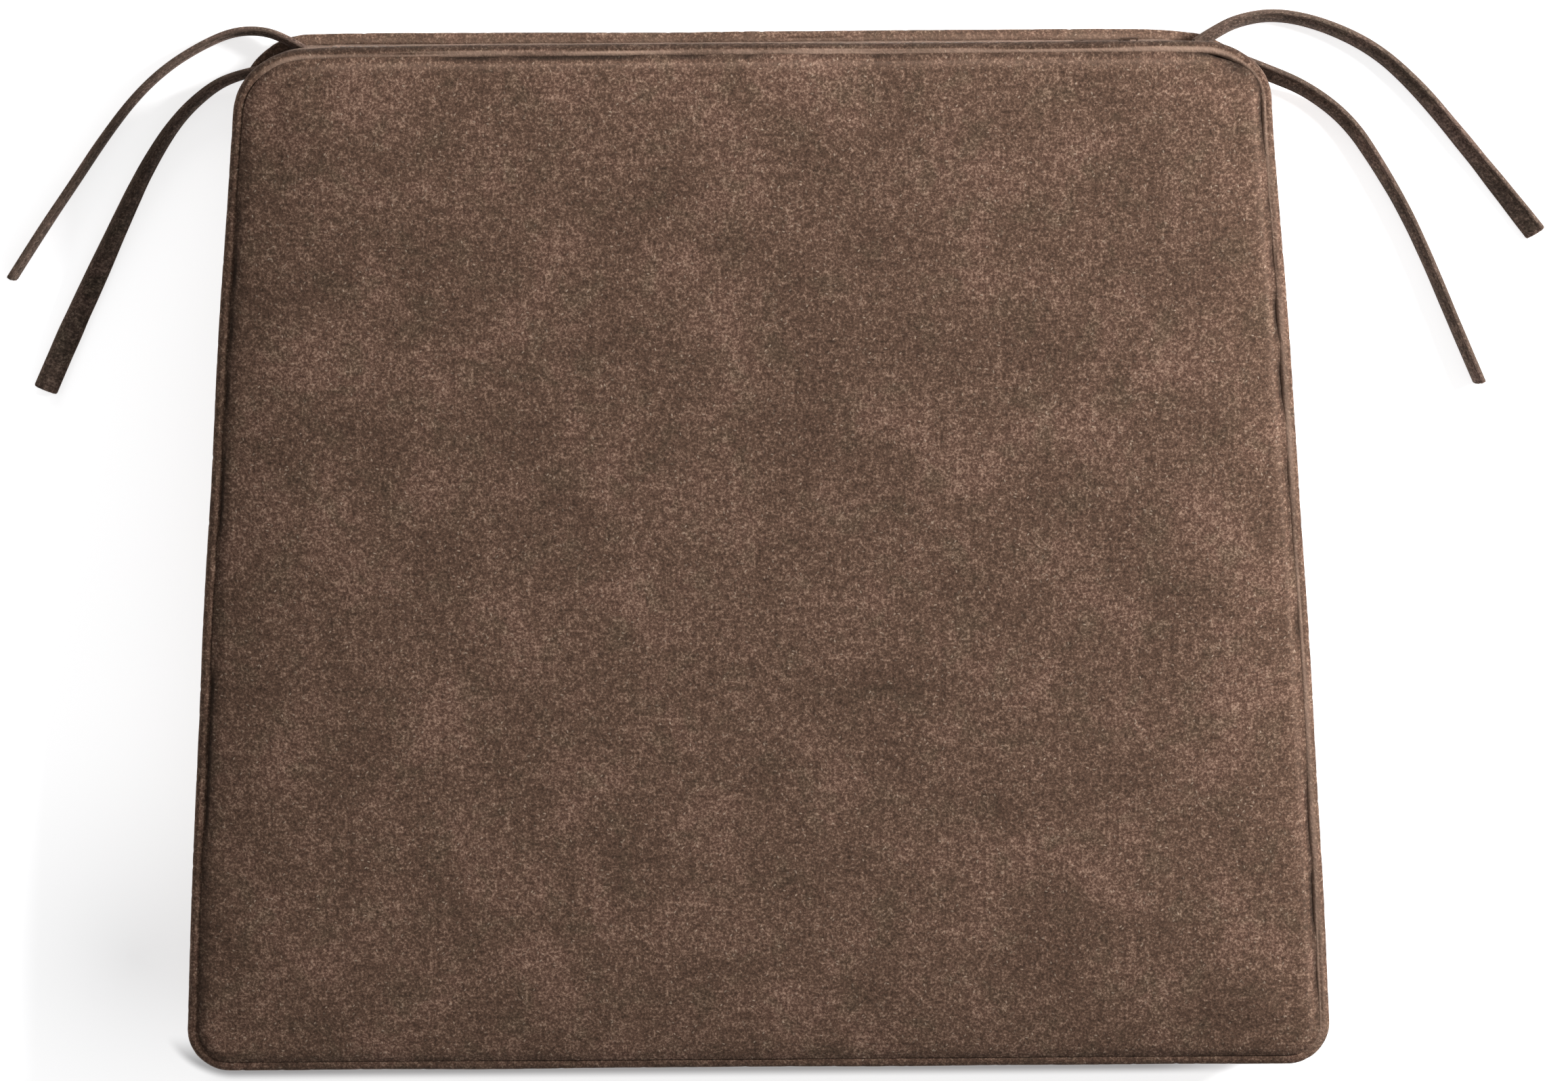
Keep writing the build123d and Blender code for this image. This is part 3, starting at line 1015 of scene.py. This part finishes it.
welt = {
    "around": 22,
    "stations": 1240,
    "creaseGap": (0.005, 0.020),
    "creaseDepth": 0.00024,
    "creaseWidth": 0.00060,
    "foldDepth": 0.00042,     # a long crease where the bias strip rolls over its cord
    "foldWidth": 0.15,
    "lumps": 0.00020,
    "sway": 0.00045,
    "crest": 2.00,            # where round the welt the painted highlight is strongest
    "crestWidth": 0.75,
    # painted shade in the long fold and on the upper welt's outer side at the back
    "foldPaintedShade": -0.8,
    "outerPaintedShade": -0.75,
    "outerShare": (0.20, 0.25),
    "slant": 0.0035,
    "foldAngle": 1.55,
    "foldSwing": 0.35,
    "joinDepth": 0.00022,     # the seam where the strip's two ends meet
    "joinPlace": 0.004,
    "joinWidth": 0.0006,
    "lowerShare": 0.45,       # the lower welt gets less painted highlight
}
cordGap = 0.00004


def tubeRound(name, points, normals, height, r, sway, uv, material):
    # a closed tube along the outline, with a radius for each station and angle
    rows, columns = r.shape
    angles = np.arange(columns) / columns * math.tau
    out = np.cos(angles)[None] * r + sway
    solid = np.stack((points[:, 0, None] + normals[:, 0, None] * out,
                      points[:, 1, None] + normals[:, 1, None] * out,
                      height + np.sin(angles)[None] * r), 2)
    faces = [(a * columns + k, b * columns + k, b * columns + (k + 1) % columns,
              a * columns + (k + 1) % columns)
             for a, b in ((i, (i + 1) % rows) for i in range(rows)) for k in range(columns)]
    wrap = [np.broadcast_to(uv[0][:, None], r.shape), np.broadcast_to(uv[1], r.shape)]
    piece = meshPiece(name, tucked(solid.reshape(-1, 3)), faces, material,
                      np.stack(wrap, 2).reshape(-1, 2))
    fixNormals(piece)
    return piece


def makeWelt(name, node, facts, seed):
    draw = random.Random(seed)
    height, upper = (facts[0][2] + facts[1][2]) / 2, facts is highWelt
    radius = weltSize / 2 - cordGap
    points, normals, along, length = outlineLoop(weltSize / 2, welt["stations"])
    creases = []
    place = 0.0
    while place < length:
        place += draw.uniform(*welt["creaseGap"])
        creases.append((place, draw.uniform(-0.5, 0.5), draw.uniform(0.2, 1.0)))
    angles = np.arange(welt["around"]) / welt["around"] * math.tau
    depths = np.zeros((len(points), welt["around"]))
    for place, slant, share in creases:
        gap = along[:, None] - place - slant * welt["slant"] * np.sin(angles)[None]
        depths += share * welt["creaseDepth"] * np.exp(-(gap / welt["creaseWidth"]) ** 2)
    still = along * 0
    foldAngle = welt["foldAngle"] + welt["foldSwing"] * ripple(along * 14, still, seed)
    foldShare = np.clip(0.5 + 1.6 * ripple(along * 20, still, seed + 3.3), 0, 1)
    turn = angles[None] - foldAngle[:, None]
    fold = foldShare[:, None] * np.exp(-(turn / welt["foldWidth"]) ** 2)
    depths += welt["foldDepth"] * fold
    fromJoin = np.minimum(along, length - along)[:, None] - welt["joinPlace"]
    depths += welt["joinDepth"] * np.exp(-(fromJoin / welt["joinWidth"]) ** 2)
    rows, sides = np.repeat(along, len(angles)), np.tile(angles, len(points))
    lumps = ripple(rows * 110 + np.cos(sides), np.sin(sides) * 0.8, seed).reshape(depths.shape)
    r = radius - depths + np.minimum(lumps * welt["lumps"], 0)
    sway = welt["sway"] * ripple(along * 16, still, seed + 0.7)
    uv = (along + 0.3 * seed, 0.4 + seed + radius * angles)
    piece = tubeRound(name, points, normals, height, r, sway[:, None], uv, coverCloth)
    # painted light round the welt: highlight on the crest at the back and right, painted shade at
    # the front and left, in the long fold and on the upper welt's outer side
    share = paintedSideLightShare(normals)
    share = np.where(share > 0, share * (1.0 if upper else welt["lowerShare"]), share)
    patchy = np.clip(0.85 + 0.8 * ripple(along * 30, still, seed + 5.1), 0.3, 1.2)
    crest = np.exp(-((angles - welt["crest"]) / welt["crestWidth"]) ** 2)
    least, spread = welt["outerShare"]
    outer = np.clip((np.cos(angles) - least) / spread, 0, 1)
    outer = outer * np.clip(normals[:, 1], 0, 1)[:, None] * upper
    tone = np.where(share > 0, share * patchy, 0)[:, None] * crest[None]
    tone += np.minimum(share, 0)[:, None] + welt["outerPaintedShade"] * outer
    tone += welt["foldPaintedShade"] * fold * np.clip(share, 0, 1)[:, None]
    putPaintedLightAndWear(piece, np.clip(tone, -1, 1))
    finish(piece, "cover_fabric", node)


makeWelt("weltLower", "bottom_welt_cover", lowWelt, 11)
makeWelt("weltUpper", "top_welt_cover", highWelt, 4)


weltCord = {"around": 18, "stations": 900, "strands": 3, "twist": 0.011, "relief": 0.07}


def makeWeltCord(name, node):
    low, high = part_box(node)
    height, radius = (low[2] + high[2]) / 2, (high[2] - low[2]) / 2 - cordGap
    points, normals, along, length = outlineLoop(weltSize / 2, weltCord["stations"])
    angles = np.arange(weltCord["around"]) / weltCord["around"] * math.tau
    turns = round(length / weltCord["twist"]) / length * math.tau
    phase = weltCord["strands"] * angles[None] - turns * along[:, None]
    r = radius * (1 - weltCord["relief"] * (1 - np.abs(np.cos(phase / 2))))
    piece = tubeRound(name, points, normals, height, r, 0, (along, radius * angles), cottonCord)
    finish(piece, "cotton_cord", node)


makeWeltCord("weltCordLower", "bottom_welt_cord")
makeWeltCord("weltCordUpper", "top_welt_cord")
print("welts made")


# ---- ties: folded tapes sewn into the back corners

# the tape's folded edges are paler: partly painted highlight, partly wear
tieTape = {"width": 0.0095, "thickness": 0.0031, "floorGap": 0.0001, "around": 30,
           "stitchDepth": 0.30, "stitchPlace": 0.66, "stitchWidth": 0.13,
           "paleEdgeFrom": 0.45, "paleEdgeTone": 0.15, "softness": 0.05,
           "lands": 0.3}     # from this share of its length on, a tie lies on the floor

tieRoutes = {
    "tie_left_back": {
        "route": [
            (-0.1705, 0.1940, 0.0086), (-0.1770, 0.1982, 0.0085), (-0.1862, 0.2014, 0.0072),
            (-0.1978, 0.2008, 0.0048), (-0.2105, 0.1952, 0.0043), (-0.2238, 0.1869, 0.0042),
            (-0.2360, 0.1756, 0.0041), (-0.2483, 0.1598, 0.0040), (-0.2598, 0.1429, 0.0038),
            (-0.2722, 0.1253, 0.0035), (-0.2844, 0.1066, 0.0033),
        ],
        "tilt": [70, 76, 78, 77, 76],
        "lean": -1,
    },
    "tie_left_side": {
        "route": [
            (-0.1858, 0.1867, 0.0085), (-0.1962, 0.1846, 0.0081), (-0.2070, 0.1792, 0.0056),
            (-0.2202, 0.1670, 0.0043), (-0.2322, 0.1484, 0.0042), (-0.2422, 0.1282, 0.0041),
            (-0.2528, 0.1060, 0.0038), (-0.2634, 0.0843, 0.0035), (-0.2731, 0.0628, 0.0033),
        ],
        "tilt": [72, 66, 52, 28, 10],
        "lean": -1,
    },
    "tie_right_back": {
        "route": [
            (0.1690, 0.1938, 0.0086), (0.1755, 0.1982, 0.0085), (0.1850, 0.2030, 0.0073),
            (0.1996, 0.2050, 0.0048), (0.2180, 0.2009, 0.0043), (0.2376, 0.1914, 0.0042),
            (0.2536, 0.1770, 0.0041), (0.2686, 0.1593, 0.0040), (0.2846, 0.1396, 0.0036),
            (0.3000, 0.1201, 0.0033),
        ],
        "tilt": [60, 62, 58, 52, 36],
        "lean": 1,
    },
    "tie_right_side": {
        "route": [
            (0.1862, 0.1867, 0.0085), (0.1976, 0.1826, 0.0080), (0.2132, 0.1754, 0.0052),
            (0.2284, 0.1632, 0.0043), (0.2399, 0.1460, 0.0042), (0.2500, 0.1288, 0.0041),
            (0.2598, 0.1079, 0.0038), (0.2694, 0.0852, 0.0035), (0.2794, 0.0624, 0.0033),
        ],
        "tilt": [50, 58, 66, 70, 72],
        "lean": 1,
    },
}


def splinePoints(name, route):
    data = bpy.data.curves.new(name, "CURVE")
    data.dimensions = "3D"
    data.resolution_u = 14
    spline = data.splines.new("NURBS")
    spline.points.add(len(route) - 1)
    for point, place in zip(spline.points, route):
        point.co = (*place, 1)
    spline.order_u = 3
    spline.use_endpoint_u = True
    curve = addObject(name, data)
    mesh = evaluatedMesh(curve)
    points = [vertex.co.copy() for vertex in mesh.vertices]
    bpy.data.objects.remove(curve)
    bpy.data.curves.remove(data)
    bpy.data.meshes.remove(mesh)
    return points


def tapeSection(count):
    # a flat folded tape in its own width and thickness, each from -1 to 1
    angles = np.arange(count) / count * math.tau
    across = np.sign(np.cos(angles)) * np.abs(np.cos(angles)) ** 0.75
    deep = np.sign(np.sin(angles)) * np.abs(np.sin(angles)) ** 0.62
    groove = np.exp(-((np.abs(across) - tieTape["stitchPlace"]) / tieTape["stitchWidth"]) ** 2)
    # paler toward the folded edges: partly painted highlight, partly wear
    worn = np.clip((np.abs(across) - tieTape["paleEdgeFrom"]) / 0.5, 0, 1) ** 1.5
    return across, deep * (1 - tieTape["stitchDepth"] * groove), worn   # stitched both edges


def makeTie(node, facts):
    path = splinePoints(node + "Route", facts["route"])
    length = sum((b - a).length for a, b in zip(path, path[1:]))
    across, deep, worn = tapeSection(tieTape["around"])
    girth = 2 * (tieTape["width"] + tieTape["thickness"])
    travelled = 0.0
    solid, uv = [], []
    last = len(path) - 1
    seed = len(node) + facts["route"][0][0] * 40
    stations = [(0, 0.0, 0.90)] + [(i, 0.0, 1.0) for i in range(last + 1)]
    stations += [(last, 0.0006, 0.93), (last, 0.0009, 0.75)]
    previous = None
    for i, beyond, shrink in stations:
        spot = path[i]
        ahead = (path[min(i + 1, last)] - path[max(i - 1, 0)]).normalized()
        if previous is not None:
            travelled += (spot - previous).length
        previous = spot
        share = travelled / length
        tilt = math.radians(float(np.interp(share, np.linspace(0, 1, 5), facts["tilt"])))
        outward = Vector((ahead.y, -ahead.x, 0)).normalized() * -facts["lean"]
        wide = outward * math.cos(tilt) + Vector((0, 0, 1)) * math.sin(tilt)
        thick = ahead.cross(wide).normalized()
        soft = 1 + tieTape["softness"] * noise.noise((travelled * 90, seed, 0.5))
        halfWidth = tieTape["width"] / 2 * shrink * soft
        halfThick = tieTape["thickness"] / 2 * shrink
        ring = [spot + ahead * beyond + wide * (a * halfWidth) + thick * (d * halfThick)
                for a, d in zip(across, deep)]
        lowest = min(p.z for p in ring)
        nearFloor = tieTape["floorGap"] - lowest
        landed = share - tieTape["lands"]
        lift = nearFloor if nearFloor > 0 else nearFloor * min(max(landed / 0.1, 0.0), 1.0)
        solid += [p + Vector((0, 0, lift)) for p in ring]
        uv += [(travelled + beyond + seed, girth * k / len(ring) + seed)
               for k in range(len(ring))]
    count = len(across)
    faces = gridFaces(len(stations), count, closed=True)
    faces.append(tuple(range(count))[::-1])
    faces.append(tuple(range((len(stations) - 1) * count, len(stations) * count)))
    name = "".join(part.capitalize() if n else part for n, part in enumerate(node.split("_")))
    piece = meshPiece(name, solid, faces, tieCloth, uv)
    fixNormals(piece)
    putPaintedLightAndWear(piece, np.tile(tieTape["paleEdgeTone"] * worn, len(stations)))
    finish(piece, "tie_fabric", node)
    print(name, "length", round(length, 4))


for node, facts in tieRoutes.items():
    makeTie(node, facts)
print("ties made")


# ---- what repeats: stitches and the zip's coils, by geometry nodes

def newTree(name, inputs):
    geometry = ("Geometry", "NodeSocketGeometry")
    sockets = [(label, kind, None) for label, kind in [geometry] + inputs]
    return newGroup(name, sockets, [geometry], "GeometryNodeTree")


def repeatAlong(tree, source, target, shape, turn):
    # one shape at every pitch of the line, made real and given its material
    line = putNode(tree, "GeometryNodeMeshToCurve", {"Mesh": source.outputs["Geometry"]})
    spaced = putNode(tree, "GeometryNodeResampleCurve",
                     {"Curve": line.outputs[0], "Length": source.outputs["Pitch"]},
                     mode="LENGTH")
    points = putNode(tree, "GeometryNodeCurveToPoints", {"Curve": spaced.outputs[0]},
                     mode="EVALUATED")
    jitter = putNode(tree, "FunctionNodeRandomValue", {"Seed": source.outputs["Seed"]},
                     data_type="FLOAT")
    jitter.inputs[2].default_value, jitter.inputs[3].default_value = repeatSpread
    rotation = points.outputs["Rotation"] if turn is None else turn
    placed = putNode(tree, "GeometryNodeInstanceOnPoints",
                     {"Points": points.outputs[0], "Instance": shape, "Rotation": rotation,
                      "Scale": jitter.outputs[1]})
    real = putNode(tree, "GeometryNodeRealizeInstances", {"Geometry": placed.outputs[0]})
    painted = putNode(tree, "GeometryNodeSetMaterial",
                      {"Geometry": real.outputs[0], "Material": source.outputs["Material"]})
    tree.links.new(painted.outputs[0], target.inputs["Geometry"])


def stitchTree():
    tree, source, target = newTree("stitchRow", [
        ("Pitch", "NodeSocketFloat"), ("Length", "NodeSocketFloat"), ("Width", "NodeSocketFloat"),
        ("Seed", "NodeSocketInt"), ("Material", "NodeSocketMaterial")])
    bead = putNode(tree, "GeometryNodeMeshUVSphere", {"Segments": 6, "Rings": 5, "Radius": 0.5})
    size = putNode(tree, "ShaderNodeCombineXYZ", {0: source.outputs["Width"],
                                                  1: source.outputs["Width"],
                                                  2: source.outputs["Length"]})
    thread = putNode(tree, "GeometryNodeTransform", {"Geometry": bead.outputs[0],
                                                     "Scale": size.outputs[0]})
    smooth = putNode(tree, "GeometryNodeSetShadeSmooth", {"Geometry": thread.outputs[0]})
    repeatAlong(tree, source, target, smooth.outputs[0], None)
    return tree


def coilTree():
    tree, source, target = newTree("zipCoil", [
        ("Pitch", "NodeSocketFloat"), ("Reach", "NodeSocketFloat"), ("Depth", "NodeSocketFloat"),
        ("Wire", "NodeSocketFloat"), ("Seed", "NodeSocketInt"),
        ("Material", "NodeSocketMaterial")])
    ring = putNode(tree, "GeometryNodeCurvePrimitiveCircle", {"Resolution": 10, "Radius": 0.5})
    size = putNode(tree, "ShaderNodeCombineXYZ", {0: source.outputs["Reach"],
                                                  1: source.outputs["Depth"], 2: 1.0})
    loop = putNode(tree, "GeometryNodeTransform",
                   {"Geometry": ring.outputs[0], "Scale": size.outputs[0],
                    "Rotation": (0, math.radians(90), math.radians(zipFacts["slope"]))})
    wire = putNode(tree, "GeometryNodeCurvePrimitiveCircle",
                   {"Resolution": 5, "Radius": source.outputs["Wire"]})
    swept = putNode(tree, "GeometryNodeCurveToMesh", {"Curve": loop.outputs[0],
                                                      "Profile Curve": wire.outputs[0]})
    smooth = putNode(tree, "GeometryNodeSetShadeSmooth", {"Geometry": swept.outputs[0]})
    repeatAlong(tree, source, target, smooth.outputs[0], (0, 0, 0))
    return tree


def growAlong(name, line, tree, values):
    mesh = bpy.data.meshes.new(name)
    mesh.from_pydata(line, [(k, k + 1) for k in range(len(line) - 1)], [])
    piece = addObject(name, mesh)
    modifier = piece.modifiers.new("nodes", "NODES")
    modifier.node_group = tree
    for item in tree.interface.items_tree:
        if item.in_out == "INPUT" and item.name in values:
            modifier[item.identifier] = values[item.name]
    grown = evaluatedMesh(piece)
    piece.modifiers.clear()
    piece.data = grown
    return piece


zipFacts = {
    "length": 0.297,
    "pitch": 0.00135,
    "wire": 0.00028,
    "depth": 0.00110,
    "overlap": -0.00036,      # the coils stop short of the slider's dividing post
    "slope": 14,
    "endGap": 0.001,
}
repeatSpread = (0.92, 1.08)


def makeZipCoils():
    tree = coilTree()
    upper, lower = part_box("zip_coil_upper"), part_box("zip_coil_lower")
    middle = (upper[0][2] + lower[1][2]) / 2
    y = (upper[0][1] + upper[1][1]) / 2
    half = zipFacts["length"] / 2 - zipFacts["endGap"]
    for name, node, top, bottom, shift in (
            ("zipCoilUpper", "zip_coil_upper", upper[1][2], middle - zipFacts["overlap"], 0.0),
            ("zipCoilLower", "zip_coil_lower", middle + zipFacts["overlap"], lower[0][2],
             zipFacts["pitch"] / 2)):
        z = (top + bottom) / 2
        line = [(-half + shift, y, z), (half - zipFacts["pitch"] / 2 + shift, y, z)]
        piece = growAlong(name, line, tree, {
            "Pitch": zipFacts["pitch"], "Reach": top - bottom - 2 * zipFacts["wire"],
            "Depth": zipFacts["depth"], "Wire": zipFacts["wire"], "Seed": 3,
            "Material": zipNylon})
        finish(piece, "zip_coil", node)


def backStripLine(z, count):
    edge = boxing["backPanel"] - 0.0015
    y = padShape["depth"] / 2 - seamInset + boxingSwell(z, boxing["backBulge"]) + zipStitch["lift"]
    return [(x, y, z) for x in np.linspace(-edge, edge, count)]


def makeZipStitches():
    tree = stitchTree()
    values = {"Pitch": zipStitch["pitch"], "Length": zipStitch["length"],
              "Width": zipStitch["width"], "Seed": 8, "Material": stitchThread}
    for name, z in (("zipStitchUpper", boxing["windowTop"] + zipStitch["fromFold"]),
                    ("zipStitchLower", boxing["windowBottom"] - zipStitch["fromFold"])):
        piece = growAlong(name, backStripLine(z, 40), tree, values)
        finish(piece, "zip_tape")


makeZipCoils()
makeZipStitches()
print("zip coils and stitches made")


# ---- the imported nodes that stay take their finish

nodeLooks = {
    "foam_core": foamBlock,
    "fibre_wrap_top": fibreFill, "fibre_wrap_bottom": fibreFill,
    "insert_casing_top": liningCloth, "insert_casing_bottom": liningCloth,
    "zip_tape_upper": zipTape, "zip_tape_lower": zipTape, "zip_stops": zipMetal,
    "zip_slider": zipMetal, "zip_pull": zipMetal,
}
for node, material in nodeLooks.items():
    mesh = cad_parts[node].data
    mesh.materials.clear()
    mesh.materials.append(material)
